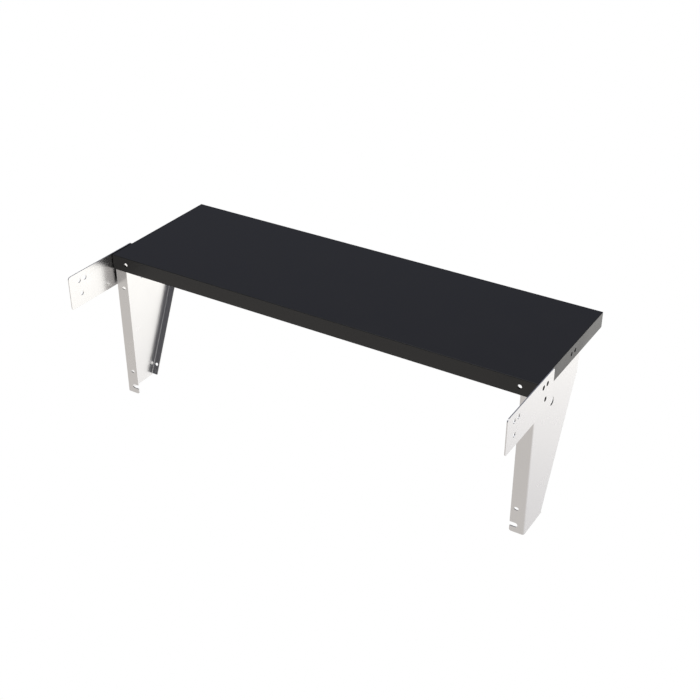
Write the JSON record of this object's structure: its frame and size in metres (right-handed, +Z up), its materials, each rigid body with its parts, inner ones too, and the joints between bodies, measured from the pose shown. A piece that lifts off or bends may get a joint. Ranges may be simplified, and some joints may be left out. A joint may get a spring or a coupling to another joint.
{
  "type": "wall shelf with brackets",
  "caption": "Folded sheet-metal wall shelf: a dark tray on two bright folded brackets, with flat ear plates reaching past the wall face at both ends.",
  "frame": {"origin": "centre of the tray's wall-side skirt face, at mid-length on the line through the two wall bolt holes", "axes": "+X along the shelf's length, +Y away from the wall, +Z up"},
  "size_m": [0.7046, 0.3145, 0.2454],
  "materials": {
    "black_coat": "semi-matt black powder coat",
    "bracket_steel": "satin stainless sheet",
    "ear_steel": "satin stainless sheet",
    "nut_steel": "dull passivated steel",
    "washer_plastic": "black nylon"
  },
  "bodies": {
    "root": {"shelf_pan": "black_coat", "left_bracket": "bracket_steel", "right_bracket": "bracket_steel", "left_ear_plate": "ear_steel", "right_ear_plate": "ear_steel", "clinch_nuts": "nut_steel", "spacer_washers": "washer_plastic"}
  },
  "joints": []
}
